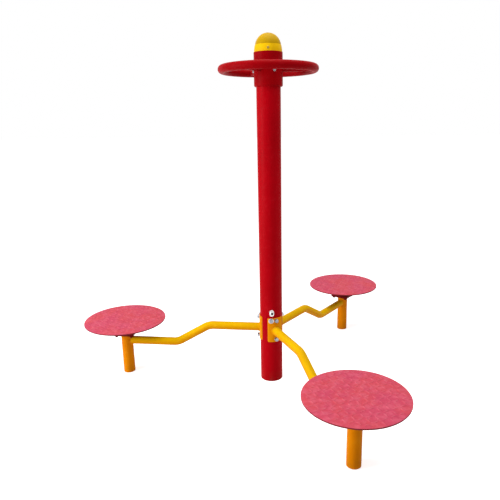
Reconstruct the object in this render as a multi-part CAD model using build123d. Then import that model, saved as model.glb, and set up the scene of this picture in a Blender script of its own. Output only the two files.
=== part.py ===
from build123d import *
import os
from math import acos, asin, degrees, radians, sin

# Three-station standing twister: a fixed centre post with three outrigger legs, a grab ring at the
# top of the post, and a round tread disc that spins freely on a bearing turntable over each leg.
# Millimetres, +Z up. The origin is on the post's axis, at ground level.

# ---- layout ----
STATION_AZIMUTHS = {1: 180.0, 2: 60.0, 3: -60.0}
STATION_RADIUS = 788.0
CAP_SCREW_AZIMUTHS = (-84.0, 36.0, 156.0)
GAP = 0.05  # side clearance of parts that are clamped or welded face to face
DRILL_REACH = 5.0  # how far a drill goes past both sides of a wall

# ---- centre post and foot ----
POST_R = 114.3 / 2
POST_WALL = 4.0
POST_TOP = 1651.0
POST_BORE_R = POST_R - POST_WALL
FOOT_SLEEVE_WALL = 3.1
FOOT_SLEEVE_LENGTH = 150.0

# ---- top cap ----
CAP_R = 64.8
CAP_SHOULDER_R = 63.4
CAP_SHOULDER_HEIGHT = 16.0
CAP_DOME_R = 60.0
CAP_FLAT_R = 1.0
CAP_WALL = 2.5
CAP_SKIRT = 24.0  # depth that goes over the post, and height of the dome's centre
CAP_CREASE_HEIGHT = 31.0
CAP_CREASE = 0.8
CAP_SCREW_HEIGHT = 14.0
CAP_SCREW_SEAT_R = 62.4

# ---- handle ----
COLLAR_R = 66.75
COLLAR_BOTTOM = 1477.0
COLLAR_TOP = 1628.0
COLLAR_LIP = 7.0
COLLAR_TOP_EDGE = 1.5
COLLAR_PLAY = 0.2
COLLAR_BOLT_Z = 1547.0
RING_RADIUS = 213.5
RING_TUBE_R = 38.0 / 2
RING_WALL = 3.2
RING_Z = 1555.0
SPOKE_TUBE_R = 26.9 / 2
SPOKE_WALL = 2.6
SPOKE_AZIMUTHS = (0.0, 120.0, 240.0)

# ---- arm saddles ----
SADDLE_THICKNESS = 4.0
SADDLE_HALF_ANGLE = 39.5  # from the arm to each upright edge
SADDLE_BOTTOM = 224.0
SADDLE_TOP = 352.0
SADDLE_CORNER = 3.5
SADDLE_INNER_R = POST_R + GAP
SADDLE_OUTER_R = SADDLE_INNER_R + SADDLE_THICKNESS
SADDLE_BOLTS = (  # angle off the arm, height, washer radius
    (0.0, 339.0, 10.5),
    (0.0, 238.0, 10.5),
    (-24.4, 340.0, 13.0),
)

# ---- arms ----
ARM_R = 42.4 / 2
ARM_WALL = 3.2
ARM_HIGH = 282.0
ARM_LOW = 182.0
ARM_UPPER_BEND = 330.0
ARM_LOWER_BEND = 503.0
ARM_BEND_RADIUS = 85.0

# ---- legs and head plates ----
LEG_R = 60.3 / 2
LEG_WALL = 3.2
LEG_TOP = 224.0
HEAD_SIDE = 110.0
HEAD_CORNER = 8.0
HEAD_THICKNESS = 7.0
HEAD_HOLE_R = 25.0
HEAD_BOLT_HALF_PITCH = 40.0

# ---- turntable, heights above ground ----
FLANGE_BOTTOM = LEG_TOP + HEAD_THICKNESS
FLANGE_TOP = FLANGE_BOTTOM + 8.0
HOUSING_R = 38.0
HOUSING_TOP = 279.0
HOUSING_EDGE = 2.0
LOWER_BEARING = 235.0
UPPER_BEARING = 258.0
SHOULDER_R = 23.0
SPACER_R = 16.0
CIRCLIP_THICKNESS = 1.5
CIRCLIP_GROOVE = 1.5
CIRCLIP_INSET = 2.0  # how far the clip's band reaches in over the bearing
CIRCLIP_MOUTH = 12.0
CIRCLIP_LUG_R = 2.0
CIRCLIP_LUG_HOLE_R = 0.9
CIRCLIP_LUG_ANGLES = (-16.0, 16.0)
SEAL_BOTTOM = 274.8
SEAL_TOP = 278.8
SEAL_PLAY = 0.05
SEAL_RIM = 2.5
SEAL_LIP = 1.8
SEAL_GROOVE_DEPTH = 2.4
SPINDLE_END = 215.0
SPINDLE_END_EDGE = 1.5
SPINDLE_THREAD_R = 12.0
SPINDLE_SHOULDER_R = 16.0
HUB_FLANGE_BOTTOM = 280.0
HUB_FLANGE_TOP = 288.0
HUB_FLANGE_R = 60.0
HUB_BOLT_CIRCLE_R = 48.0
HUB_BOLTS = 4
HUB_BOLT_END = 1.0  # how far each bolt stops short of the disc
PAD_R = 70.0
DISC_BOTTOM = 296.0
DISC_TOP = 302.0
DISC_R = 211.0
DISC_EDGE = 1.5

# ---- deep-groove ball bearing, 25 x 52 x 15 ----
BEARING_BORE_R = 12.5
BEARING_R = 26.0
BEARING_WIDTH = 15.0
BEARING_SLIDE = 0.01
BALL_CIRCLE_R = 19.25
BALL_R = 3.97
BALL_COUNT = 9
BALL_PLAY = 0.05
RACE_SHOULDER = 2.35  # from the ball circle to either race's shoulder
CAGE_WALL = 1.2
CAGE_WIDTH = 11.0

# ---- fasteners: shank radius, width across flats, head height ----
HEXAGON_CORNER = 1.155  # corner radius over half the width across flats
HEXAGON_CHAMFER = 0.13  # of half the width across flats
M12 = (6.0, 18.0, 7.5)
M10 = (5.0, 16.0, 6.4)
M8 = (4.0, 13.0, 5.3)
M12_NUT_HEIGHT = 10.0
M10_NUT_HEIGHT = 8.0
WASHER_THICKNESS = 2.5
PLUG_AZIMUTH = -81.0
PLUG_Z = 380.0
PLUG_PLATE_WIDTH = 23.0
PLUG_PLATE_LENGTH = 34.0
PLUG_PLATE_THICKNESS = 3.0
PLUG_HEAD_R = 8.5
PLUG_HEAD_HEIGHT = 7.0
PLUG_HEAD_EDGE = 0.8
PLUG_SOCKET_FLATS = 10.0
PLUG_SOCKET_DEPTH = 5.0
CAP_SCREW_R = 2.5
CAP_SCREW_HEAD_R = 5.5
CAP_SCREW_HEAD_HEIGHT = 3.2
CAP_SCREW_SLOT = (6.0, 1.2, 3.0)
LOCK_NUT_FLATS = 36.0
LOCK_NUT_HEIGHT = 10.0
LOCK_WASHER_R = 20.0
LOCK_WASHER_THICKNESS = 2.4
THREAD_PLAY = 0.05
THREAD_END = 3.0  # how far a screw stands past its nut or wall
HOLE_PLAY = 0.5


# ---- basic shapes ----
def rod(radius, low, high):
    """A cylinder on the Z axis between two heights."""
    return Pos(0, 0, low) * Cylinder(radius, high - low, align=(Align.CENTER, Align.CENTER, Align.MIN))


def tube(outer, inner, low, high):
    """A round tube on the Z axis between two heights."""
    return rod(outer, low, high) - rod(inner, low, high)


def outward(shape, azimuth, height):
    """Turn a shape so that its Z axis runs out from the post at this azimuth and height."""
    return Rot(0, 0, azimuth) * Pos(0, 0, height) * Rot(0, 90, 0) * shape


def at_station(shape, station):
    """Carry a shape from the Z axis to a leg's axis, with its X axis pointing away from the post."""
    return Rot(0, 0, STATION_AZIMUTHS[station]) * Pos(STATION_RADIUS, 0, 0) * shape


def hexagon(flats, low, high):
    """A hexagonal prism on the Z axis between two heights."""
    outline = RegularPolygon(flats / 2, 6, major_radius=False)
    return Pos(0, 0, low) * extrude(outline, amount=high - low)


def hex_bolt(size, seat, length):
    """A hexagon bolt with its head above the seat height and its shank below it."""
    shank, flats, height = size
    dome = rod(flats / 2 * HEXAGON_CORNER, seat, seat + height)
    dome = chamfer(dome.edges().sort_by(Axis.Z)[-1], HEXAGON_CHAMFER * flats / 2)
    return (hexagon(flats, seat, seat + height) & dome) + rod(shank, seat - length, seat)


def hex_nut(flats, bore, low, high):
    """A hexagon nut on the Z axis with both faces chamfered at the corners."""
    blank = rod(flats / 2 * HEXAGON_CORNER, low, high)
    blank = chamfer(blank.edges().filter_by(GeomType.CIRCLE), HEXAGON_CHAMFER * flats / 2)
    return (hexagon(flats, low, high) & blank) - rod(bore, low, high)


def drill(radius, inner, outer):
    """A drill along Z that goes right through a wall between two radii."""
    return rod(radius, inner - DRILL_REACH, outer + DRILL_REACH)


def save(name, solids):
    """Write one node, as one solid or as a group of separate solids."""
    if isinstance(solids, list):
        solids = Compound(children=solids)
    export_step(solids, f"parts/{name}.step")


# ---- post, foot sleeve and cap ----
def saddle_bolt_places():
    """Azimuth and height of every saddle bolt."""
    return [(a + off, z) for a in STATION_AZIMUTHS.values() for off, z, _ in SADDLE_BOLTS]


def center_post():
    post = tube(POST_R, POST_BORE_R, 0, POST_TOP)
    hole = drill(M12[0] + HOLE_PLAY, POST_BORE_R, POST_R)
    for azimuth, height in saddle_bolt_places() + [(PLUG_AZIMUTH, PLUG_Z)]:
        post -= outward(hole, azimuth, height)
    hole = drill(M8[0] + HOLE_PLAY, POST_BORE_R, POST_R)
    for azimuth in STATION_AZIMUTHS.values():
        post -= outward(hole, azimuth, COLLAR_BOLT_Z)
    hole = drill(CAP_SCREW_R + THREAD_PLAY, POST_BORE_R, POST_R)
    for azimuth in CAP_SCREW_AZIMUTHS:
        post -= outward(hole, azimuth, COLLAR_TOP + CAP_SCREW_HEIGHT)
    return post


def post_foot_sleeve():
    outer = POST_BORE_R - GAP
    return tube(outer, outer - FOOT_SLEEVE_WALL, 0, FOOT_SLEEVE_LENGTH)


def dome_arc(inset, low):
    """The dome's round from a height up to the small flat on its top, moved inwards."""
    radius = CAP_DOME_R - inset
    start = asin((low - CAP_SKIRT) / radius)
    end = acos(CAP_FLAT_R / radius)
    return CenterArc((0, CAP_SKIRT), radius, degrees(start), degrees(end - start))


def top_cap():
    """A moulded dome: a thick flared skirt round the post's end, and a thin crown a step inside it."""
    crown = dome_arc(0, CAP_CREASE_HEIGHT)
    hollow = dome_arc(CAP_WALL, CAP_SKIRT)
    crease_edge = ((crown @ 0).X + CAP_CREASE, CAP_CREASE_HEIGHT)
    skirt = ThreePointArc((CAP_R, 0), (CAP_SHOULDER_R, CAP_SHOULDER_HEIGHT), crease_edge)
    bore = POST_R + GAP
    axis_top = Vector(0, (crown @ 1).Y)
    axis_hollow = Vector(0, (hollow @ 1).Y)
    outline = skirt + Line(skirt @ 1, crown @ 0) + crown
    outline += Polyline(crown @ 1, axis_top, axis_hollow, hollow @ 1) + hollow
    outline += Polyline(hollow @ 0, Vector(bore, CAP_SKIRT), Vector(bore, 0), skirt @ 0)
    cap = revolve(Plane.XZ * make_face(outline), Axis.Z)
    hole = drill(CAP_SCREW_R + HOLE_PLAY, POST_R, CAP_R)
    hole += rod(CAP_SCREW_HEAD_R + HOLE_PLAY, CAP_SCREW_SEAT_R, CAP_R + DRILL_REACH)
    for azimuth in CAP_SCREW_AZIMUTHS:
        cap -= outward(hole, azimuth, CAP_SCREW_HEIGHT)
    return Pos(0, 0, COLLAR_TOP) * cap


def cap_screw():
    """A pan-head screw with a cross recess, lying along Z with its head outwards."""
    head = rod(CAP_SCREW_HEAD_R, CAP_SCREW_SEAT_R, CAP_SCREW_SEAT_R + CAP_SCREW_HEAD_HEIGHT)
    head = fillet(head.edges().sort_by(Axis.Z)[-1], CAP_SCREW_HEAD_HEIGHT * 0.6)
    slot = Pos(0, 0, CAP_SCREW_SEAT_R + CAP_SCREW_HEAD_HEIGHT) * Box(*CAP_SCREW_SLOT)
    shank = rod(CAP_SCREW_R, POST_BORE_R - THREAD_END, CAP_SCREW_SEAT_R)
    return head - slot - Rot(0, 0, 90) * slot + shank


# ---- handle ----
def handle_collar():
    sleeve = rod(COLLAR_R, COLLAR_BOTTOM, COLLAR_TOP)
    sleeve = fillet(sleeve.edges().sort_by(Axis.Z)[0], COLLAR_LIP)
    sleeve = fillet(sleeve.edges().sort_by(Axis.Z)[-1], COLLAR_TOP_EDGE)
    sleeve -= rod(POST_R + COLLAR_PLAY, COLLAR_BOTTOM, COLLAR_TOP)
    for azimuth in STATION_AZIMUTHS.values():
        sleeve -= outward(drill(M8[0] + THREAD_PLAY, POST_R, COLLAR_R), azimuth, COLLAR_BOLT_Z)
    return sleeve


def collar_bolt():
    return hex_bolt(M8, COLLAR_R, COLLAR_R - POST_BORE_R + THREAD_END)


def handle_ring():
    ring = Torus(RING_RADIUS, RING_TUBE_R) - Torus(RING_RADIUS, RING_TUBE_R - RING_WALL)
    return Pos(0, 0, RING_Z) * ring


def handle_spoke():
    """A spoke tube along Z, coped to the collar at one end and to the ring at the other."""
    spoke = tube(SPOKE_TUBE_R, SPOKE_TUBE_R - SPOKE_WALL, COLLAR_R / 2, RING_RADIUS)
    spoke -= Rot(0, 90, 0) * Cylinder(COLLAR_R, 4 * SPOKE_TUBE_R)
    return spoke - Rot(0, 90, 0) * Torus(RING_RADIUS, RING_TUBE_R)


# ---- saddles and their fasteners ----
def saddle():
    """A curved plate on the +X side of the post, with rounded corners."""
    width = 2 * SADDLE_OUTER_R * sin(radians(SADDLE_HALF_ANGLE))
    outline = RectangleRounded(width, SADDLE_TOP - SADDLE_BOTTOM, SADDLE_CORNER)
    window = Pos(0, 0, (SADDLE_BOTTOM + SADDLE_TOP) / 2) * extrude(Plane.YZ * outline, amount=POST_R * 2)
    plate = tube(SADDLE_OUTER_R, SADDLE_INNER_R, SADDLE_BOTTOM, SADDLE_TOP) & window
    for off, height, _ in SADDLE_BOLTS:
        plate -= outward(drill(M12[0] + HOLE_PLAY, SADDLE_INNER_R, SADDLE_OUTER_R), off, height)
    return plate


def saddle_washers():
    """Washers for one saddle at azimuth 0: a broad one under the third bolt."""
    seat = SADDLE_OUTER_R + GAP
    bore = M12[0] + HOLE_PLAY
    return [outward(tube(r, bore, seat, seat + WASHER_THICKNESS), a, z) for a, z, r in SADDLE_BOLTS]


def saddle_bolt():
    seat = SADDLE_OUTER_R + GAP + WASHER_THICKNESS
    return hex_bolt(M12, seat, seat - POST_BORE_R + M12_NUT_HEIGHT + THREAD_END)


def weld_nut():
    """A nut lying along Z, with its outer face shaped to the post's bore."""
    nut = hex_nut(M12[1], M12[0] + THREAD_PLAY, POST_BORE_R - M12_NUT_HEIGHT, POST_BORE_R + 1)
    return nut & Rot(0, 90, 0) * Cylinder(POST_BORE_R - GAP, POST_BORE_R)


# ---- plug bolt above the front saddle ----
def plug_washer():
    """An oblong washer plate lying along Z, with its long side upright once it is on the post."""
    outline = SlotOverall(PLUG_PLATE_LENGTH, PLUG_PLATE_WIDTH) - Circle(M12[0] + HOLE_PLAY)
    return Pos(0, 0, POST_R + GAP) * extrude(outline, amount=PLUG_PLATE_THICKNESS)


def plug_bolt():
    seat = POST_R + GAP + PLUG_PLATE_THICKNESS
    top = seat + PLUG_HEAD_HEIGHT
    head = rod(PLUG_HEAD_R, seat, top)
    head = chamfer(head.edges().sort_by(Axis.Z)[-1], PLUG_HEAD_EDGE)
    head -= hexagon(PLUG_SOCKET_FLATS, top - PLUG_SOCKET_DEPTH, top)
    return head + rod(M12[0], POST_BORE_R - M12_NUT_HEIGHT - THREAD_END, seat)


# ---- arms, legs and head plates, each drawn at station azimuth 0 ----
def arm_solid(radius):
    """The cranked arm as a solid bar of this radius, from inside the saddle to inside the leg."""
    path = FilletPolyline(
        (POST_R, 0, ARM_HIGH),
        (ARM_UPPER_BEND, 0, ARM_HIGH),
        (ARM_LOWER_BEND, 0, ARM_LOW),
        (STATION_RADIUS - LEG_R / 2, 0, ARM_LOW),
        radius=ARM_BEND_RADIUS,
    )
    return sweep(Plane(origin=path @ 0, z_dir=path % 0) * Circle(radius), path)


def arm():
    bar = arm_solid(ARM_R) - arm_solid(ARM_R - ARM_WALL)
    bar -= rod(SADDLE_OUTER_R, SADDLE_BOTTOM, SADDLE_TOP)
    return bar - Pos(STATION_RADIUS, 0, 0) * rod(LEG_R, 0, LEG_TOP)


def leg():
    return tube(LEG_R, LEG_R - LEG_WALL, 0, LEG_TOP)


def square_plate(low, high):
    outline = RectangleRounded(HEAD_SIDE, HEAD_SIDE, HEAD_CORNER)
    return Pos(0, 0, low) * extrude(outline, amount=high - low)


def corner_places():
    return GridLocations(2 * HEAD_BOLT_HALF_PITCH, 2 * HEAD_BOLT_HALF_PITCH, 2, 2)


def head_plate():
    plate = square_plate(LEG_TOP, FLANGE_BOTTOM) - rod(HEAD_HOLE_R, LEG_TOP, FLANGE_BOTTOM)
    for place in corner_places():
        plate -= place * rod(M10[0] + HOLE_PLAY, LEG_TOP, FLANGE_BOTTOM)
    return plate


# ---- turntable parts, each drawn on the Z axis at its real height ----
def bearing_housing():
    barrel = rod(HOUSING_R, FLANGE_BOTTOM, HOUSING_TOP)
    barrel = chamfer(barrel.edges().sort_by(Axis.Z)[-1], HOUSING_EDGE)
    housing = square_plate(FLANGE_BOTTOM, FLANGE_TOP) + barrel
    for place in corner_places():
        housing -= place * rod(M10[0] + HOLE_PLAY, FLANGE_BOTTOM, FLANGE_TOP)
    seat = BEARING_R + BEARING_SLIDE
    housing -= rod(seat, FLANGE_BOTTOM, LOWER_BEARING + BEARING_WIDTH)
    housing -= rod(seat, UPPER_BEARING, HOUSING_TOP)
    housing -= rod(SHOULDER_R, FLANGE_BOTTOM, HOUSING_TOP)
    for low in circlip_heights():
        housing -= rod(seat + CIRCLIP_GROOVE, low, low + CIRCLIP_THICKNESS)
    return housing


def circlip_heights():
    """Underside of the circlip below the lower bearing and of the one above the upper bearing."""
    return (LOWER_BEARING - CIRCLIP_THICKNESS, UPPER_BEARING + BEARING_WIDTH)


def circlip(low):
    """An internal retaining ring with two eyed lugs beside its mouth."""
    high = low + CIRCLIP_THICKNESS
    clip = tube(BEARING_R + CIRCLIP_GROOVE - 2 * GAP, BEARING_R - CIRCLIP_INSET, low, high)
    clip -= Pos(BEARING_R, 0, low) * Box(CIRCLIP_MOUTH, CIRCLIP_MOUTH, 4 * CIRCLIP_THICKNESS)
    lugs = [Rot(0, 0, a) * Pos(BEARING_R - 1.5 * CIRCLIP_LUG_R, 0, 0) for a in CIRCLIP_LUG_ANGLES]
    for place in lugs:
        clip += place * rod(CIRCLIP_LUG_R, low, high)
    for place in lugs:
        clip -= place * rod(CIRCLIP_LUG_HOLE_R, low, high)
    return clip


def ball_track(low):
    """The torus that the balls roll in, for a bearing whose underside is at this height."""
    return Pos(0, 0, low + BEARING_WIDTH / 2) * Torus(BALL_CIRCLE_R, BALL_R + BALL_PLAY)


def outer_race(low):
    ring = tube(BEARING_R, BALL_CIRCLE_R + RACE_SHOULDER, low, low + BEARING_WIDTH)
    return ring - ball_track(low)


def inner_race(low):
    ring = tube(BALL_CIRCLE_R - RACE_SHOULDER, BEARING_BORE_R, low, low + BEARING_WIDTH)
    return ring - ball_track(low)


def balls(low):
    ball = Pos(0, 0, low + BEARING_WIDTH / 2) * Sphere(BALL_R)
    return [place * ball for place in PolarLocations(BALL_CIRCLE_R, BALL_COUNT)]


def cage(low):
    """A band round the ball circle with a round pocket for each ball."""
    middle = low + BEARING_WIDTH / 2
    inner = BALL_CIRCLE_R - CAGE_WALL / 2
    outer = BALL_CIRCLE_R + CAGE_WALL / 2
    ring = tube(outer, inner, middle - CAGE_WIDTH / 2, middle + CAGE_WIDTH / 2)
    pocket = drill(BALL_R + 3 * BALL_PLAY, inner, outer)
    for n in range(BALL_COUNT):
        ring -= outward(pocket, 360 / BALL_COUNT * n, middle)
    return ring


def dust_seal():
    """A rubber lip seal pressed into the housing's mouth, running on the spindle's shoulder."""
    ring = tube(BEARING_R, SPINDLE_SHOULDER_R + SEAL_PLAY, SEAL_BOTTOM, SEAL_TOP)
    floor = SEAL_TOP - SEAL_GROOVE_DEPTH
    return ring - tube(BEARING_R - SEAL_RIM, SPINDLE_SHOULDER_R + SEAL_LIP, floor, SEAL_TOP)


def spindle():
    shaft = rod(SPINDLE_THREAD_R, SPINDLE_END, LOWER_BEARING)
    shaft = chamfer(shaft.edges().sort_by(Axis.Z)[0], SPINDLE_END_EDGE)
    shaft += rod(BEARING_BORE_R - BEARING_SLIDE, LOWER_BEARING, UPPER_BEARING + BEARING_WIDTH)
    shaft += rod(SPINDLE_SHOULDER_R, UPPER_BEARING + BEARING_WIDTH, HUB_FLANGE_BOTTOM)
    shaft += rod(HUB_FLANGE_R, HUB_FLANGE_BOTTOM, HUB_FLANGE_TOP)
    for place in hub_bolt_places():
        shaft -= place * rod(M8[0] + HOLE_PLAY, HUB_FLANGE_BOTTOM, HUB_FLANGE_TOP)
    return shaft


def hub_bolt_places():
    return PolarLocations(HUB_BOLT_CIRCLE_R, HUB_BOLTS, start_angle=45)


def bearing_spacer():
    return tube(SPACER_R, BEARING_BORE_R + GAP, LOWER_BEARING + BEARING_WIDTH, UPPER_BEARING)


def lock_washer():
    low = LOWER_BEARING - LOCK_WASHER_THICKNESS
    return tube(LOCK_WASHER_R, SPINDLE_THREAD_R + THREAD_PLAY, low, LOWER_BEARING)


def lock_nut():
    top = LOWER_BEARING - LOCK_WASHER_THICKNESS
    return hex_nut(LOCK_NUT_FLATS, SPINDLE_THREAD_R + THREAD_PLAY, top - LOCK_NUT_HEIGHT, top)


def disc_pad():
    pad = rod(PAD_R, HUB_FLANGE_TOP, DISC_BOTTOM)
    for place in hub_bolt_places():
        pad -= place * rod(M8[0] + THREAD_PLAY, HUB_FLANGE_TOP, DISC_BOTTOM)
    return pad


def hub_bolts():
    """Bolts that come up through the spindle's flange into the pad, heads down."""
    bolt = Rot(180, 0, 0) * hex_bolt(M8, 0, DISC_BOTTOM - HUB_FLANGE_BOTTOM - HUB_BOLT_END)
    return [place * Pos(0, 0, HUB_FLANGE_BOTTOM) * bolt for place in hub_bolt_places()]


def tread_disc():
    disc = rod(DISC_R, DISC_BOTTOM, DISC_TOP)
    return fillet(disc.edges().filter_by(GeomType.CIRCLE), DISC_EDGE)


def housing_bolts():
    """Bolts down through the housing's flange and the head plate."""
    grip = FLANGE_TOP - LEG_TOP
    bolt = Pos(0, 0, FLANGE_TOP) * hex_bolt(M10, 0, grip + M10_NUT_HEIGHT + THREAD_END)
    return [place * bolt for place in corner_places()]


def housing_nuts():
    nut = hex_nut(M10[1], M10[0] + THREAD_PLAY, LEG_TOP - M10_NUT_HEIGHT, LEG_TOP)
    return [place * nut for place in corner_places()]


# ---- write the nodes ----
def every_station(solids):
    """Repeat a list of station solids at all three stations."""
    return [at_station(solid, station) for station in STATION_AZIMUTHS for solid in solids]


def write_post_and_handle():
    save("center_post", center_post())
    save("post_foot_sleeve", post_foot_sleeve())
    save("top_cap", top_cap())
    screw = cap_screw()
    screw_z = COLLAR_TOP + CAP_SCREW_HEIGHT
    save("cap_screws", [outward(screw, a, screw_z) for a in CAP_SCREW_AZIMUTHS])
    save("handle_collar", handle_collar())
    bolt = collar_bolt()
    save("collar_bolts", [outward(bolt, a, COLLAR_BOLT_Z) for a in STATION_AZIMUTHS.values()])
    save("handle_ring", handle_ring())
    spoke = handle_spoke()
    save("handle_spokes", [outward(spoke, a, RING_Z) for a in SPOKE_AZIMUTHS])


def write_saddle_fasteners():
    places = saddle_bolt_places()
    bolt = saddle_bolt()
    save("saddle_bolts", [outward(bolt, a, z) for a, z in places])
    save("saddle_washers", [Rot(0, 0, a) * w for a in STATION_AZIMUTHS.values() for w in saddle_washers()])
    nut = weld_nut()
    save("weld_nuts", [outward(nut, a, z) for a, z in places + [(PLUG_AZIMUTH, PLUG_Z)]])
    save("plug_bolt", outward(plug_bolt(), PLUG_AZIMUTH, PLUG_Z))
    save("plug_washer", outward(plug_washer(), PLUG_AZIMUTH, PLUG_Z))


def write_fixed_station_parts():
    for station, azimuth in STATION_AZIMUTHS.items():
        save(f"saddle_{station}", Rot(0, 0, azimuth) * saddle())
        save(f"arm_{station}", Rot(0, 0, azimuth) * arm())
        save(f"leg_{station}", at_station(leg(), station))
        save(f"head_plate_{station}", at_station(head_plate(), station))
        save(f"bearing_housing_{station}", at_station(bearing_housing(), station))
    bearings = (LOWER_BEARING, UPPER_BEARING)
    save("housing_bolts", every_station(housing_bolts()))
    save("housing_nuts", every_station(housing_nuts()))
    save("circlips", every_station([circlip(low) for low in circlip_heights()]))
    save("bearing_outer_races", every_station([outer_race(low) for low in bearings]))
    save("bearing_cages", every_station([cage(low) for low in bearings]))
    save("bearing_balls", every_station([ball for low in bearings for ball in balls(low)]))
    save("dust_seals", every_station([dust_seal()]))


def write_turntables():
    bearings = (LOWER_BEARING, UPPER_BEARING)
    for station in STATION_AZIMUTHS:
        for name, solids in (
            ("tread_disc", [tread_disc()]),
            ("disc_pad", [disc_pad()]),
            ("spindle", [spindle()]),
            ("bearing_inner_races", [inner_race(low) for low in bearings]),
            ("bearing_spacer", [bearing_spacer()]),
            ("lock_washer", [lock_washer()]),
            ("lock_nut", [lock_nut()]),
            ("hub_bolts", hub_bolts()),
        ):
            save(f"{name}_{station}", [at_station(solid, station) for solid in solids])


os.makedirs("parts", exist_ok=True)
write_post_and_handle()
write_saddle_fasteners()
write_fixed_station_parts()
write_turntables()
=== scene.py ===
import math

import bmesh
import bpy
from mathutils import Matrix, Vector, geometry, noise

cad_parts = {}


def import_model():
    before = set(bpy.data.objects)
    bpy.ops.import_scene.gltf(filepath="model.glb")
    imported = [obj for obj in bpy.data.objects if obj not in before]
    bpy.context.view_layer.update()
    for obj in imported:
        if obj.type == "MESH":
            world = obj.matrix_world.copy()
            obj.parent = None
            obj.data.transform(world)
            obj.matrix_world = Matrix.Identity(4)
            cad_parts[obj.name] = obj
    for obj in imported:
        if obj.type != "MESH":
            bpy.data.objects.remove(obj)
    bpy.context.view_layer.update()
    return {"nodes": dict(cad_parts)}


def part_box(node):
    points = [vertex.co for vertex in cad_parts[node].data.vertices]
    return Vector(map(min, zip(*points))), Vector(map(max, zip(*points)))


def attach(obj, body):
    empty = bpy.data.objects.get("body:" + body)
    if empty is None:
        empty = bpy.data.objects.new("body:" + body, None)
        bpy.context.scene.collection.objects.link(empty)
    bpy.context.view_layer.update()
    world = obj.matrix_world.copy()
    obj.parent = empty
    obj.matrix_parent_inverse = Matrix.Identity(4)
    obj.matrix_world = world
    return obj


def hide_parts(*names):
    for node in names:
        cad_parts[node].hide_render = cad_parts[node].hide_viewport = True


# A three-station standing twister in powder-coated steel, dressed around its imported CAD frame.
# Metres, +Z up, origin on the centre post's axis at ground level. Colours are linear RGB.

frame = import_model()
nodes = frame["nodes"]

STATIONS = (1, 2, 3)


# ---- places and sizes read off the frame ----
def middle(node):
    low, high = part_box(node)
    return (low + high) / 2


def half_size(node):
    low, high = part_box(node)
    return (high - low) / 2


LEG_AXIS = {k: Vector((middle(f"leg_{k}").x, middle(f"leg_{k}").y, 0)) for k in STATIONS}
AZIMUTH = {k: math.atan2(LEG_AXIS[k].y, LEG_AXIS[k].x) for k in STATIONS}
STATION_RADIUS = LEG_AXIS[1].length
LEG_R = half_size("leg_1").x
LEG_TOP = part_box("leg_1")[1].z
ARM_R = half_size("arm_1").y
ARM_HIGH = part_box("arm_1")[1].z - ARM_R
ARM_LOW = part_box("arm_1")[0].z + ARM_R
SADDLE_R = -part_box("saddle_1")[0].x
COLLAR_R = half_size("handle_collar").x
RING_Z = middle("handle_ring").z
RING_TUBE_R = half_size("handle_ring").z
RING_R = half_size("handle_ring").x - RING_TUBE_R
SPOKE_R = half_size("handle_spokes").z
SPOKE_AZIMUTHS = [math.radians(a) for a in (0, 120, 240)]
DISC_R = half_size("tread_disc_1").x
DISC_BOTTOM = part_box("tread_disc_1")[0].z
DISC_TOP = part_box("tread_disc_1")[1].z
PAD_R = half_size("disc_pad_1").x
CAP_CREASE_HEIGHT = 0.031  # over the cap's lower edge
CAP_CREASE_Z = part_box("top_cap")[0].z + CAP_CREASE_HEIGHT

# An arm's two bends, as distances out from the post's axis, and its tube.
ARM_UPPER_BEND = 0.330
ARM_LOWER_BEND = 0.503
ARM_BEND_R = 0.085
ARM_WALL = 0.0032


# ---- mesh building ----
SAME_POINT = 1e-6
SAME_PLANE = math.radians(0.4)
HARD_EDGE = math.radians(35)
BEAD_RIPPLE = 0.0024  # length of one ripple along a weld bead
BEAD_SAMPLES = 96  # points that measure a bead's length
RIPPLE_POINTS = 4
RIPPLE_DEPTH = 0.14
BEAD_DRIFT = 0.12
BEAD_DRIFT_SCALE = 90


def finish_mesh(obj, material, body, sharp_angle=35):
    """Smooth shading with sharp edges kept, one material, and a body to ride on."""
    obj.data.materials.clear()
    obj.data.materials.append(material)
    obj.data.polygons.foreach_set("use_smooth", [True] * len(obj.data.polygons))
    obj.data.set_sharp_from_angle(angle=math.radians(sharp_angle))
    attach(obj, body)
    return obj


def object_from(bm, name):
    bmesh.ops.recalc_face_normals(bm, faces=bm.faces)
    mesh = bpy.data.meshes.new(name)
    bm.to_mesh(mesh)
    bm.free()
    obj = bpy.data.objects.new(name, mesh)
    bpy.context.scene.collection.objects.link(obj)
    return obj


def softened(node, width, material):
    """A copy of a CAD node with its hard edges rounded off, which stands for the node."""
    bm = bmesh.new()
    bm.from_mesh(nodes[node].data)
    bmesh.ops.remove_doubles(bm, verts=bm.verts, dist=SAME_POINT)
    bmesh.ops.dissolve_limit(bm, angle_limit=SAME_PLANE, verts=bm.verts, edges=bm.edges)
    hard = [e for e in bm.edges if e.is_manifold and e.calc_face_angle() > HARD_EDGE]
    bmesh.ops.bevel(
        bm, geom=hard, offset=width, segments=2, profile=0.5, affect="EDGES", clamp_overlap=True
    )
    obj = object_from(bm, f"{node}_body")
    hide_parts(node)
    return finish_mesh(obj, material, "stand")


def bridge(bm, here, after):
    """A band of quads between two closed rings of vertices."""
    for i in range(len(here)):
        up = (i + 1) % len(here)
        bm.faces.new((here[i], here[up], after[up], after[i]))


def tube_loop(bm, points, radii, sides=8):
    """A closed tube through a closed loop of points, with its own radius at each point."""
    count = len(points)
    centre = sum(points, Vector()) / count
    rings = []
    for i, point in enumerate(points):
        along = (points[(i + 1) % count] - points[i - 1]).normalized()
        out = point - centre
        out = (out - along * out.dot(along)).normalized()
        side = along.cross(out)
        ring = []
        for j in range(sides):
            turn = 2 * math.pi * j / sides
            ring.append(bm.verts.new(point + radii[i] * (math.cos(turn) * out + math.sin(turn) * side)))
        rings.append(ring)
    for i in range(count):
        bridge(bm, rings[i - 1], rings[i])


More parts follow.
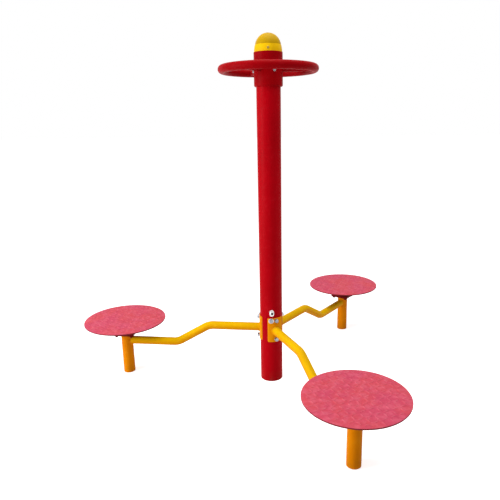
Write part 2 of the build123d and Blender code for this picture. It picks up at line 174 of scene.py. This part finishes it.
def weld_bead(bm, path, radius):
    """A weld bead along a closed curve. path(t) gives a point for t from 0 to 1."""
    rough = [path(i / BEAD_SAMPLES) for i in range(BEAD_SAMPLES)]
    length = sum((rough[i] - rough[i - 1]).length for i in range(BEAD_SAMPLES))
    ripples = round(length / BEAD_RIPPLE)
    count = ripples * RIPPLE_POINTS
    points = [path(i / count) for i in range(count)]
    radii = []
    for i, point in enumerate(points):
        scallop = 1 - RIPPLE_DEPTH + RIPPLE_DEPTH * abs(math.sin(math.pi * ripples * i / count))
        drift = 1 + BEAD_DRIFT * noise.noise(point * BEAD_DRIFT_SCALE)
        radii.append(radius * scallop * drift)
    tube_loop(bm, points, radii)


def on_upright(radius, tube_r, height, side=1):
    """Where a level tube along X meets an upright cylinder, on its +X side (1) or its -X side (-1)."""

    def path(t):
        turn = 2 * math.pi * t
        y, z = tube_r * math.cos(turn), tube_r * math.sin(turn)
        return Vector((side * math.sqrt(radius**2 - y**2), y, height + z))

    return path


def moved(path, matrix):
    return lambda t: matrix @ path(t)


def beads_object(name, paths, radius, material, body="stand"):
    bm = bmesh.new()
    for path in paths:
        weld_bead(bm, path, radius)
    return finish_mesh(object_from(bm, name), material, body, sharp_angle=60)


# ---- shader building ----
EDGE_STARTS = 0.995  # cosine between the rounded-off and the true normal where an edge begins
EDGE_FULL = 0.9


class Shader:
    """A material's node tree, with short ways to add nodes and join them."""

    def __init__(self, name):
        self.material = bpy.data.materials.new(name)
        self.material.use_nodes = True
        self.tree = self.material.node_tree
        self.surface = self.tree.nodes["Principled BSDF"]
        self.place = self.add("ShaderNodeTexCoord").outputs["Object"]

    def add(self, kind, settings=None, **inputs):
        node = self.tree.nodes.new(kind)
        for key, value in (settings or {}).items():
            setattr(node, key, value)
        for key, value in inputs.items():
            self.set(node.inputs[key.replace("_", " ")], value)
        return node

    def set(self, socket, value):
        if isinstance(value, bpy.types.NodeSocket):
            self.tree.links.new(value, socket)
        else:
            socket.default_value = value

    def noise(self, scale, detail=3.0, rough=0.5, stretch=None):
        place = self.place
        if stretch:
            place = self.add("ShaderNodeMapping", Vector=place, Scale=stretch).outputs["Vector"]
        node = self.add("ShaderNodeTexNoise", Vector=place, Scale=scale, Detail=detail, Roughness=rough)
        return node.outputs["Fac"]

    def ramp(self, value, low, high, start=0.0, end=1.0):
        node = self.add("ShaderNodeMapRange", {"interpolation_type": "SMOOTHSTEP"}, Value=value)
        for key, number in (("From Min", low), ("From Max", high), ("To Min", start), ("To Max", end)):
            node.inputs[key].default_value = number
        return node.outputs["Result"]

    def math(self, operation, first, second=0.0):
        node = self.add("ShaderNodeMath", {"operation": operation})
        self.set(node.inputs[0], first)
        self.set(node.inputs[1], second)
        return node.outputs[0]

    def times(self, first, second):
        return self.math("MULTIPLY", first, second)

    def patches(self, low, high, scale, detail, rough=0.5, full=1.0):
        """Cloudy patches from 0 to full, where the noise passes from low to high."""
        return self.ramp(self.noise(scale, detail, rough), low, high, 0.0, full)

    def mix(self, share, first, second):
        """Blend two colours, each a tuple or a socket. A colour mix node has its ends at 6 and 7."""
        node = self.add("ShaderNodeMix", {"data_type": "RGBA"})
        self.set(node.inputs[0], share)
        self.set(node.inputs[6], (*first, 1.0) if isinstance(first, tuple) else first)
        self.set(node.inputs[7], (*second, 1.0) if isinstance(second, tuple) else second)
        return node.outputs[2]

    def facing(self, axis):
        """How far the surface faces along one axis, from -1 to 1."""
        split = self.add("ShaderNodeSeparateXYZ")
        self.set(split.inputs[0], self.add("ShaderNodeNewGeometry").outputs["Normal"])
        return split.outputs["XYZ".index(axis)]

    def height(self):
        split = self.add("ShaderNodeSeparateXYZ")
        self.set(split.inputs[0], self.place)
        return split.outputs[2]

    def off_axis(self, node):
        """Distance from the level line that runs from the post's axis through a node's middle."""
        place = middle(node)
        out = Vector((place.x, place.y, 0)).normalized()
        centre = Vector((0, 0, place.z))
        away = self.add("ShaderNodeVectorMath", {"operation": "SUBTRACT"})
        self.set(away.inputs[0], self.place)
        self.set(away.inputs[1], centre)
        cross = self.add("ShaderNodeVectorMath", {"operation": "CROSS_PRODUCT"})
        self.set(cross.inputs[0], away.outputs[0])
        self.set(cross.inputs[1], out)
        length = self.add("ShaderNodeVectorMath", {"operation": "LENGTH"})
        self.set(length.inputs[0], cross.outputs[0])
        return length.outputs["Value"]

    def edges(self, radius):
        """1 on a convex or hollow edge and 0 on open surface."""
        rounded = self.add("ShaderNodeBevel", {"samples": 4}, Radius=radius).outputs["Normal"]
        flat = self.add("ShaderNodeNewGeometry").outputs["Normal"]
        dot = self.add("ShaderNodeVectorMath", {"operation": "DOT_PRODUCT"})
        self.set(dot.inputs[0], rounded)
        self.set(dot.inputs[1], flat)
        return self.ramp(dot.outputs["Value"], EDGE_STARTS, EDGE_FULL)

    def bump(self, *layers):
        """Stack bump layers, each (height socket, strength, depth in metres)."""
        normal = None
        for value, strength, depth in layers:
            node = self.add("ShaderNodeBump", Height=value, Strength=strength, Distance=depth)
            if normal is not None:
                self.set(node.inputs["Normal"], normal)
            normal = node.outputs["Normal"]
        self.set(self.surface.inputs["Normal"], normal)

    def done(self, **values):
        for key, value in values.items():
            self.set(self.surface.inputs[key.replace("_", " ")], value)
        return self.material


MUD = (0.11, 0.075, 0.05)
DULL_SPOT = (0.2, 0.17, 0.14)
SOCKET_PAINTED_SHADE = (0.03, 0.028, 0.027)
SOCKET_R = 0.0058
COAT_ROUGHNESS = 0.45
SPLASH_HEIGHT = 0.07
SCUFF_WIDTH = 0.0022


def powder_coat(name, base, deep, pale, chip, painted_shade_colour=None):
    """Powder-coated steel: slow colour drift, orange peel, dust on level faces, scuffed edges, and an
    optional painted shade that shifts sides and undersides to another colour.
    """
    s = Shader(name)
    colour = s.mix(s.patches(0.3, 0.7, 7.0, 4.0), base, deep)
    # Painted shade: sides and undersides turn towards the given darker, more orange colour.
    if painted_shade_colour:
        colour = s.mix(s.ramp(s.facing("Z"), 0.75, -0.4, 0.0, 0.9), colour, painted_shade_colour)
    colour = s.mix(s.patches(0.52, 0.72, 38.0, 5.0, 0.6, full=0.35), colour, pale)
    dust = s.times(s.ramp(s.facing("Z"), 0.75, 1.0), s.patches(0.35, 0.8, 26.0, 6.0, 0.65))
    colour = s.mix(s.times(dust, 0.3), colour, pale)
    splash = s.times(s.ramp(s.height(), SPLASH_HEIGHT, 0.0), s.patches(0.4, 0.75, 60.0, 5.0, 0.7))
    colour = s.mix(s.times(splash, 0.3), colour, MUD)
    scuff = s.times(s.edges(SCUFF_WIDTH), s.patches(0.5, 0.66, 240.0, 4.0, 0.7))
    colour = s.mix(s.times(scuff, 0.8), colour, chip)
    cloudy = s.ramp(s.noise(55.0, 4.0), 0.2, 0.8, COAT_ROUGHNESS - 0.07, COAT_ROUGHNESS + 0.09)
    roughness = s.math("ADD", cloudy, s.times(scuff, 0.2))
    peel = (s.noise(620.0, 2.0), 0.1, 0.0004)
    runs = (s.noise(420.0, 2.0, 0.5, stretch=(1.0, 1.0, 0.06)), 0.04, 0.0002)
    dents = (s.noise(120.0, 3.0), 0.1, 0.0006)
    s.bump(peel, runs, dents)
    return s.done(Base_Color=colour, Roughness=roughness, Specular_IOR_Level=0.03)


def tread_coat(name):
    """The disc's worn anti-slip paint: pinkish red, paler on the raised bars, with painted shade round its
    edge and underneath.
    """
    s = Shader(name)
    colour = s.mix(s.patches(0.35, 0.65, 9.0, 4.0, 0.55), (0.6, 0.062, 0.12), (0.64, 0.07, 0.095))
    colour = s.mix(s.patches(0.42, 0.66, 42.0, 5.0, 0.6, full=0.4), colour, (0.78, 0.15, 0.22))
    colour = s.mix(s.patches(0.58, 0.72, 110.0, 3.0, 0.6, full=0.3), colour, (0.42, 0.03, 0.06))
    raised = s.ramp(s.height(), DISC_TOP + 0.0003, DISC_TOP + 0.0013)
    worn = s.times(raised, s.ramp(s.noise(160.0, 4.0, 0.65), 0.3, 0.7, 0.35, 1.0))
    colour = s.mix(s.times(worn, 0.2), colour, (0.86, 0.3, 0.34))
    # Painted shade: the sideways-facing rim is darkened to deep maroon.
    rim = s.ramp(s.math("ABSOLUTE", s.facing("Z")), 0.75, 0.35)
    colour = s.mix(rim, colour, (0.24, 0.02, 0.03))
    # Painted shade: downward-facing surfaces are darkened.
    painted_underside_shade = s.ramp(s.facing("Z"), -0.3, -0.8)
    colour = s.mix(painted_underside_shade, colour, (0.2, 0.012, 0.02))
    roughness = s.ramp(s.noise(90.0, 4.0), 0.2, 0.8, 0.5, 0.72)
    s.bump((s.noise(900.0, 2.0), 0.25, 0.0005), (s.noise(260.0, 4.0), 0.2, 0.0006))
    return s.done(Base_Color=colour, Roughness=roughness, Specular_IOR_Level=0.12)


def moulded_plastic(name, base, deep, pale, crown_painted_shade):
    """Moulded dome: faint flow marks, painted shade darkening the crown above the crease, and a fine mould
    texture.
    """
    s = Shader(name)
    flow = s.noise(24.0, 3.0, 0.5, stretch=(1.0, 1.0, 0.3))
    colour = s.mix(s.ramp(flow, 0.35, 0.7), base, deep)
    bleached = s.times(s.ramp(s.facing("Z"), 0.2, 1.0), s.patches(0.4, 0.7, 60.0, 5.0, 0.6))
    colour = s.mix(s.times(bleached, 0.35), colour, pale)
    # Painted shade: the dome above the crease is darker than the skirt below it.
    over_crease = s.ramp(s.height(), CAP_CREASE_Z, CAP_CREASE_Z + 0.0015)
    colour = s.mix(over_crease, colour, crown_painted_shade)
    roughness = s.ramp(s.noise(140.0, 3.0), 0.2, 0.8, 0.34, 0.48)
    s.bump((s.noise(1500.0, 1.0), 0.08, 0.0002), (s.noise(45.0, 2.0), 0.08, 0.0008))
    return s.done(Base_Color=colour, Roughness=roughness, Specular_IOR_Level=0.06)


def plated_steel(name, base, deep, rough, grain=900.0, socket=None):
    """Plated steel: brushed grain, cloudy passivation and dull spots, and painted shade in a bolt's
    socket.
    """
    s = Shader(name)
    colour = s.mix(s.patches(0.35, 0.7, 110.0, 4.0, 0.6), base, deep)
    colour = s.mix(s.patches(0.62, 0.75, 380.0, 3.0, 0.7, full=0.4), colour, DULL_SPOT)
    if socket:
        # Painted shade: the bolt head's recessed socket is darkened.
        colour = s.mix(s.ramp(s.off_axis(socket), SOCKET_R + 0.001, SOCKET_R), colour, SOCKET_PAINTED_SHADE)
    roughness = s.ramp(s.noise(grain, 2.0), 0.2, 0.8, rough - 0.1, rough + 0.12)
    s.bump((s.noise(grain, 2.0), 0.15, 0.0002))
    return s.done(Base_Color=colour, Roughness=roughness, Metallic=1.0)


def moulded_rubber(name):
    """Black rubber with a dusty bloom and a fine grain."""
    s = Shader(name)
    colour = s.mix(s.patches(0.35, 0.7, 160.0, 4.0), (0.012, 0.012, 0.013), (0.035, 0.034, 0.033))
    s.bump((s.noise(1100.0, 2.0), 0.3, 0.0003))
    return s.done(Base_Color=colour, Roughness=0.75, Specular_IOR_Level=0.3)


RED_CHIP = (0.3, 0.1, 0.08)
YELLOW_CHIP = (0.4, 0.33, 0.22)
HANDLE_COAT = powder_coat(
    "handle_coat",
    base=(0.355, 0.0, 0.003),
    deep=(0.32, 0.0, 0.002),
    pale=(0.38, 0.008, 0.012),
    chip=RED_CHIP,
)
RED_COAT = powder_coat(
    "red_coat", base=(0.47, 0.0, 0.005), deep=(0.43, 0.0, 0.004), pale=(0.5, 0.01, 0.016), chip=RED_CHIP
)
YELLOW_COAT = powder_coat(
    "yellow_coat",
    base=(0.84, 0.47, 0.0),
    deep=(0.78, 0.43, 0.0),
    pale=(0.88, 0.52, 0.02),
    chip=YELLOW_CHIP,
    # Painted shade colour for the arms' sides and undersides.
    painted_shade_colour=(0.8, 0.3, 0.0),
)
ORANGE_COAT = powder_coat(
    "orange_coat", base=(0.87, 0.27, 0.0), deep=(0.8, 0.23, 0.0), pale=(0.91, 0.35, 0.02), chip=YELLOW_CHIP
)
SADDLE_COAT = powder_coat(
    "saddle_coat", base=(0.91, 0.33, 0.0), deep=(0.84, 0.29, 0.0), pale=(0.94, 0.4, 0.02), chip=YELLOW_CHIP
)
# Painted shade: the red coat darkened for the pads, plates, housings, fasteners and welds that sit in
# shade under the discs.
SHADED_RED_COAT = powder_coat(
    "shaded_red_coat",
    base=(0.17, 0.004, 0.004),
    deep=(0.12, 0.003, 0.003),
    pale=(0.22, 0.035, 0.03),
    chip=(0.25, 0.17, 0.14),
)
TREAD_COAT = tread_coat("tread_coat")
CAP_PLASTIC = moulded_plastic(
    "cap_plastic",
    base=(0.93, 0.57, 0.002),
    deep=(0.86, 0.5, 0.001),
    pale=(0.94, 0.6, 0.004),
    crown_painted_shade=(0.55, 0.32, 0.001),
)
BRIGHT_ZINC = {"base": (0.72, 0.72, 0.73), "deep": (0.54, 0.54, 0.56), "rough": 0.34}
ZINC = plated_steel("zinc_plate", **BRIGHT_ZINC)
PLUG_ZINC = plated_steel("plug_zinc", **BRIGHT_ZINC, socket="plug_bolt")
DULL_STEEL = plated_steel("dull_steel", (0.42, 0.43, 0.45), (0.32, 0.33, 0.35), 0.36)
YELLOW_ZINC = plated_steel("yellow_zinc", (0.55, 0.38, 0.1), (0.4, 0.27, 0.07), 0.4)
GREY_STEEL = plated_steel("grey_steel", (0.3, 0.32, 0.37), (0.2, 0.21, 0.25), 0.36)
BLACK_STEEL = plated_steel("black_steel", (0.09, 0.09, 0.1), (0.04, 0.04, 0.045), 0.42)
BEARING_STEEL = plated_steel("bearing_steel", (0.68, 0.69, 0.71), (0.6, 0.61, 0.63), 0.2, grain=2200.0)
RUBBER = moulded_rubber("seal_rubber")


# ---- materials on the CAD nodes that stay ----
def dress(material, *names):
    for name in names:
        data = nodes[name].data
        data.materials.clear()
        data.materials.append(material)


def each_station(*stems):
    return [f"{stem}_{k}" for stem in stems for k in STATIONS]


dress(RED_COAT, "center_post")
dress(HANDLE_COAT, "handle_collar", "handle_ring", "handle_spokes")
dress(ORANGE_COAT, *each_station("leg"))
# Disc pads take the red coat with painted shade.
dress(SHADED_RED_COAT, *each_station("disc_pad"))
dress(CAP_PLASTIC, "top_cap")
dress(ZINC, "saddle_washers", "plug_washer", "post_foot_sleeve")
dress(DULL_STEEL, "collar_bolts")
dress(PLUG_ZINC, "plug_bolt")
dress(GREY_STEEL, "saddle_bolts", "weld_nuts")
# Housing bolts and nuts take the red coat with painted shade.
dress(SHADED_RED_COAT, "housing_bolts", "housing_nuts")
dress(DULL_STEEL, *each_station("spindle", "bearing_spacer", "lock_washer", "lock_nut", "hub_bolts"))
dress(YELLOW_ZINC, "cap_screws")
dress(BLACK_STEEL, "circlips")
dress(BEARING_STEEL, "bearing_outer_races", "bearing_cages", "bearing_balls")
dress(BEARING_STEEL, *each_station("bearing_inner_races"))
dress(RUBBER, "dust_seals")


# ---- plates with their hard edges rounded ----
SADDLE_EDGE = 0.0012
HEAD_EDGE = 0.001

for k in STATIONS:
    softened(f"saddle_{k}", SADDLE_EDGE, SADDLE_COAT)
    softened(f"head_plate_{k}", HEAD_EDGE, SHADED_RED_COAT)
    softened(f"bearing_housing_{k}", HEAD_EDGE, SHADED_RED_COAT)


# ---- arms ----
BEND_STEPS = 12
ARM_SIDES = 64


def at_azimuth(angle):
    return Matrix.Rotation(angle, 4, "Z")


def arm_bends():
    """Distance out, height and slope of each section round the arm's two bends, drawn along +X."""
    slope = math.atan2(ARM_LOW - ARM_HIGH, ARM_LOWER_BEND - ARM_UPPER_BEND)
    ease = ARM_BEND_R * math.tan(-slope / 2)
    for i in range(BEND_STEPS + 1):
        turn = slope * i / BEND_STEPS
        drop = ARM_BEND_R * (1 - math.cos(turn))
        yield ARM_UPPER_BEND - ease - ARM_BEND_R * math.sin(turn), ARM_HIGH - drop, turn
    for i in range(BEND_STEPS + 1):
        turn = slope * (1 - i / BEND_STEPS)
        drop = ARM_BEND_R * (1 - math.cos(turn))
        yield ARM_LOWER_BEND + ease + ARM_BEND_R * math.sin(turn), ARM_LOW + drop, turn


def circle(count, radius=1.0):
    """Evenly spaced points round a circle, as coordinate pairs."""
    turns = [2 * math.pi * i / count for i in range(count)]
    return [(radius * math.cos(t), radius * math.sin(t)) for t in turns]


def arm_tube(k):
    """A cranked tube with round bends, coped to the saddle at one end and to the leg at the other."""
    bm = bmesh.new()
    shells = []
    for radius in (ARM_R, ARM_R - ARM_WALL):
        section = circle(ARM_SIDES, radius)
        rings = [[(math.sqrt(SADDLE_R**2 - y**2), y, ARM_HIGH + up) for y, up in section]]
        for x, z, turn in arm_bends():
            rings.append([(x - up * math.sin(turn), y, z + up * math.cos(turn)) for y, up in section])
        rings.append([(STATION_RADIUS - math.sqrt(LEG_R**2 - y**2), y, ARM_LOW + up) for y, up in section])
        shells.append([[bm.verts.new(place) for place in ring] for ring in rings])
    outer, inner = shells
    for shell in shells:
        for here, after in zip(shell, shell[1:]):
            bridge(bm, here, after)
    for end in (0, -1):
        bridge(bm, outer[end], inner[end])
    bmesh.ops.transform(bm, matrix=at_azimuth(AZIMUTH[k]), verts=bm.verts)
    obj = object_from(bm, f"arm_tube_{k}")
    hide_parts(f"arm_{k}")
    finish_mesh(obj, YELLOW_COAT, "stand")


for k in STATIONS:
    arm_tube(k)


# ---- tread discs ----
TREAD_PITCH = 0.027
BAR_LENGTH = 0.025
BAR_WIDTH = 0.0068
BAR_HEIGHT = 0.0014
BAR_POINT = 0.35  # how strongly a bar's ends are drawn to a point
RIM_MARGIN = 0.004
RIM_ROUND = 0.0009
RIM_STEPS = 4
RIM_POINTS = 160
TREAD_TURNS = {1: 12, 2: 31, 3: 77}  # degrees that each disc's pattern is turned at rest

# A bar's outlines from the plate up to its crest: share of its size, points, share of its height.
BAR_LEVELS = ((1.0, 14, 0.0), (0.78, 14, 0.72), (0.42, 8, 1.0))
SAME_TREAD_POINT = 1e-7


def bar_outline(x, y, turn, share, points):
    """A pointed bar's outline, or a smaller copy of it inside."""
    outline = []
    for cos, sin in circle(points):
        along = 0.5 * BAR_LENGTH * share * cos
        across = 0.5 * BAR_WIDTH * share * sin * abs(sin) ** BAR_POINT
        place_x = x + along * math.cos(turn) - across * math.sin(turn)
        place_y = y + along * math.sin(turn) + across * math.cos(turn)
        outline.append(Vector((place_x, place_y)))
    return outline


def bar_places():
    """Centre and direction of every whole bar that fits on the disc, alternately crossing."""
    reach = int(DISC_R / TREAD_PITCH) + 1
    for i in range(-reach, reach + 1):
        for j in range(-reach, reach + 1):
            x, y = (i + 0.5) * TREAD_PITCH, (j + 0.5) * TREAD_PITCH
            if math.hypot(x, y) + BAR_LENGTH / 2 < DISC_R - RIM_MARGIN:
                yield x, y, math.radians(45 if (i + j) % 2 else 135)


def tread_top(bm, rim):
    """The disc's top face, triangulated round every raised bar. Returns its rim vertices in order."""
    flat = [Vector(place) for place in circle(RIM_POINTS, rim)]
    heights = [0.0] * RIM_POINTS
    edges = [(i, (i + 1) % RIM_POINTS) for i in range(RIM_POINTS)]
    for x, y, turn in bar_places():
        for share, points, rise in BAR_LEVELS:
            first = len(flat)
            flat += bar_outline(x, y, turn, share, points)
            heights += [rise * BAR_HEIGHT] * points
            edges += [(first + i, first + (i + 1) % points) for i in range(points)]
    places, _, faces, sources, _, _ = geometry.delaunay_2d_cdt(flat, edges, [], 0, SAME_TREAD_POINT)
    verts = []
    for place, found in zip(places, sources):
        rise = max((heights[n] for n in found), default=0.0)
        verts.append(bm.verts.new((place.x, place.y, DISC_TOP + rise)))
    for face in faces:
        bm.faces.new([verts[n] for n in face])
    rim_verts = {n: vert for vert, found in zip(verts, sources) for n in found if n < RIM_POINTS}
    return [rim_verts[n] for n in range(RIM_POINTS)]


def tread_disc(k):
    """A round chequer plate with raised bars and rounded rim edges, on a station's axis."""
    bm = bmesh.new()
    rim = DISC_R - RIM_ROUND
    ring = tread_top(bm, rim)
    quarter = [math.pi / 2 * step / RIM_STEPS for step in range(RIM_STEPS + 1)]
    upper = [(math.sin(t), DISC_TOP - RIM_ROUND * (1 - math.cos(t))) for t in quarter[1:]]
    lower = [(math.cos(t), DISC_BOTTOM + RIM_ROUND * (1 - math.sin(t))) for t in quarter]
    for out, z in upper + lower:
        after = [bm.verts.new((x, y, z)) for x, y in circle(RIM_POINTS, rim + RIM_ROUND * out)]
        bridge(bm, ring, after)
        ring = after
    bm.faces.new(reversed(ring))
    place = Matrix.Translation(LEG_AXIS[k]) @ at_azimuth(math.radians(TREAD_TURNS[k]))
    bmesh.ops.transform(bm, matrix=place, verts=bm.verts)
    obj = object_from(bm, f"tread_plate_{k}")
    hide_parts(f"tread_disc_{k}")
    finish_mesh(obj, TREAD_COAT, f"turntable_{k}", sharp_angle=50)


for k in STATIONS:
    tread_disc(k)


# ---- weld beads ----
SADDLE_BEAD_R = 0.0032
LEG_BEAD_R = 0.0028
PAD_BEAD_R = 0.0026
COLLAR_BEAD_R = 0.0024
RING_BEAD_R = 0.0022
BEAD_OUT = 0.0008  # a fillet bead's centre, out from the upright and down from the plate
BEAD_DOWN = 0.0012


def at_leg(k):
    return at_azimuth(AZIMUTH[k]) @ Matrix.Translation((STATION_RADIUS, 0, 0))


def level_circle(radius, height):
    def path(t):
        turn = 2 * math.pi * t
        return Vector((radius * math.cos(turn), radius * math.sin(turn), height))

    return path


def on_ring(t):
    """Where a spoke along +X meets the ring's inner side."""
    turn = 2 * math.pi * t
    y, z = SPOKE_R * math.cos(turn), SPOKE_R * math.sin(turn)
    reach = RING_R - math.sqrt(RING_TUBE_R**2 - z**2)
    return Vector((math.sqrt(reach**2 - y**2), y, RING_Z + z))


for k in STATIONS:
    saddle_side = moved(on_upright(SADDLE_R, ARM_R, ARM_HIGH), at_azimuth(AZIMUTH[k]))
    beads_object(f"arm_saddle_weld_{k}", [saddle_side], SADDLE_BEAD_R, YELLOW_COAT)
    leg_side = moved(on_upright(LEG_R, ARM_R, ARM_LOW, side=-1), at_leg(k))
    beads_object(f"arm_leg_weld_{k}", [leg_side], LEG_BEAD_R, ORANGE_COAT)
    under_plate = moved(level_circle(LEG_R + BEAD_OUT, LEG_TOP - BEAD_DOWN), at_leg(k))
    beads_object(f"head_plate_weld_{k}", [under_plate], LEG_BEAD_R, ORANGE_COAT)
    under_disc = moved(level_circle(PAD_R + BEAD_OUT, DISC_BOTTOM - BEAD_DOWN), at_leg(k))
    beads_object(f"disc_pad_weld_{k}", [under_disc], PAD_BEAD_R, SHADED_RED_COAT, f"turntable_{k}")

spoke_turns = [at_azimuth(angle) for angle in SPOKE_AZIMUTHS]
collar_ends = [moved(on_upright(COLLAR_R, SPOKE_R, RING_Z), turn) for turn in spoke_turns]
ring_ends = [moved(on_ring, turn) for turn in spoke_turns]
beads_object("spoke_collar_welds", collar_ends, COLLAR_BEAD_R, HANDLE_COAT)
beads_object("spoke_ring_welds", ring_ends, RING_BEAD_R, HANDLE_COAT)


# ---- floor, lights and camera ----
CAMERA_REACH = 2.4405
CAMERA_HEIGHT = 1.32355
CAMERA_AZIMUTH = math.radians(6.04)
CAMERA_YAW = math.radians(-0.46)
CAMERA_PITCH = math.radians(14.11)
CAMERA_ROLL = math.radians(0.78)
CAMERA_LENS = 36.15
CAMERA_SHIFT = (-0.03286, -0.00532)
SKY_FILL = 0.42  # the white world's strength as light; a camera ray sees it at 1
FLOOR_GLOW = 0.72  # the floor's glow to the camera, which keeps it pale; it lights nothing
FLOOR_REACH = 40.0
FLOOR_SEEN = (0.9, 0.9, 0.9)
FLOOR_BOUNCE = (0.62, 0.62, 0.62)
KEY_LIGHT = {"place": (-3.4, -1.6, 1.4), "target": (0, 0, 0.8), "size": (1.6, 2.6), "power": 103}
OVERHEAD = {"place": (0.3, -0.25, 4.2), "target": (0.1, 0, 0), "size": (3.2, 3.2), "power": 98}


def floor():
    """A pale floor, lighter to the camera than to the object, and clear from below."""
    mesh = bpy.data.meshes.new("floor")
    corners = [(FLOOR_REACH * x, FLOOR_REACH * y, 0) for x, y in ((-1, -1), (1, -1), (1, 1), (-1, 1))]
    mesh.from_pydata(corners, [], [(0, 1, 2, 3)])
    obj = bpy.data.objects.new("floor", mesh)
    bpy.context.scene.collection.objects.link(obj)
    s = Shader("floor_pale")
    lighting = s.add("ShaderNodeLightPath").outputs["Is Diffuse Ray"]
    colour = s.mix(lighting, FLOOR_SEEN, FLOOR_BOUNCE)
    glow = s.ramp(lighting, 0.0, 1.0, FLOOR_GLOW, 0.0)
    s.done(
        Base_Color=colour,
        Roughness=0.9,
        Specular_IOR_Level=0.0,
        Emission_Color=(1, 1, 1, 1),
        Emission_Strength=glow,
    )
    below = s.add("ShaderNodeNewGeometry").outputs["Backfacing"]
    see_through = s.add("ShaderNodeMixShader")
    s.set(see_through.inputs[0], below)
    s.set(see_through.inputs[1], s.surface.outputs[0])
    s.set(see_through.inputs[2], s.add("ShaderNodeBsdfTransparent").outputs[0])
    s.set(s.tree.nodes["Material Output"].inputs["Surface"], see_through.outputs[0])
    mesh.materials.append(s.material)


def area_light(name, place, target, size, power):
    """A white rectangular light at a place, facing a target."""
    data = bpy.data.lights.new(name, "AREA")
    data.shape = "RECTANGLE"
    data.size, data.size_y = size
    data.energy = power
    obj = bpy.data.objects.new(name, data)
    bpy.context.scene.collection.objects.link(obj)
    obj.location = place
    obj.rotation_euler = (Vector(target) - Vector(place)).to_track_quat("-Z", "Y").to_euler()


def world():
    """A white studio that looks brighter than the fill light it gives."""
    made = bpy.data.worlds.new("studio")
    bpy.context.scene.world = made
    made.use_nodes = True
    tree = made.node_tree
    back = tree.nodes["Background"]
    path = tree.nodes.new("ShaderNodeLightPath")
    strength = tree.nodes.new("ShaderNodeMapRange")
    strength.inputs["To Min"].default_value = 1.0
    strength.inputs["To Max"].default_value = SKY_FILL
    tree.links.new(path.outputs["Is Diffuse Ray"], strength.inputs["Value"])
    tree.links.new(strength.outputs["Result"], back.inputs["Strength"])
    back.inputs["Color"].default_value = (1, 1, 1, 1)


def camera():
    """A camera in front of the post, turned a little round it, with yaw, pitch and roll of its own."""
    data = bpy.data.cameras.new("camera")
    data.sensor_width = 36.0
    data.lens = CAMERA_LENS
    data.shift_x, data.shift_y = CAMERA_SHIFT
    data.clip_end = 200.0
    obj = bpy.data.objects.new("camera", data)
    bpy.context.scene.collection.objects.link(obj)
    place = Vector((0, -CAMERA_REACH, CAMERA_HEIGHT))
    level = Vector((math.sin(CAMERA_YAW), math.cos(CAMERA_YAW), 0))
    forward = level * math.cos(CAMERA_PITCH) - Vector((0, 0, math.sin(CAMERA_PITCH)))
    right = Vector((math.cos(CAMERA_YAW), -math.sin(CAMERA_YAW), 0))
    down = forward.cross(right)
    rolled_right = right * math.cos(CAMERA_ROLL) + down * math.sin(CAMERA_ROLL)
    rolled_down = down * math.cos(CAMERA_ROLL) - right * math.sin(CAMERA_ROLL)
    turn = Matrix((rolled_right, -rolled_down, -forward)).transposed().to_4x4()
    obj.matrix_world = at_azimuth(CAMERA_AZIMUTH) @ Matrix.Translation(place) @ turn
    bpy.context.scene.camera = obj


floor()
world()
area_light("key", **KEY_LIGHT)
area_light("overhead", **OVERHEAD)
camera()
bpy.context.scene.view_settings.view_transform = "Standard"
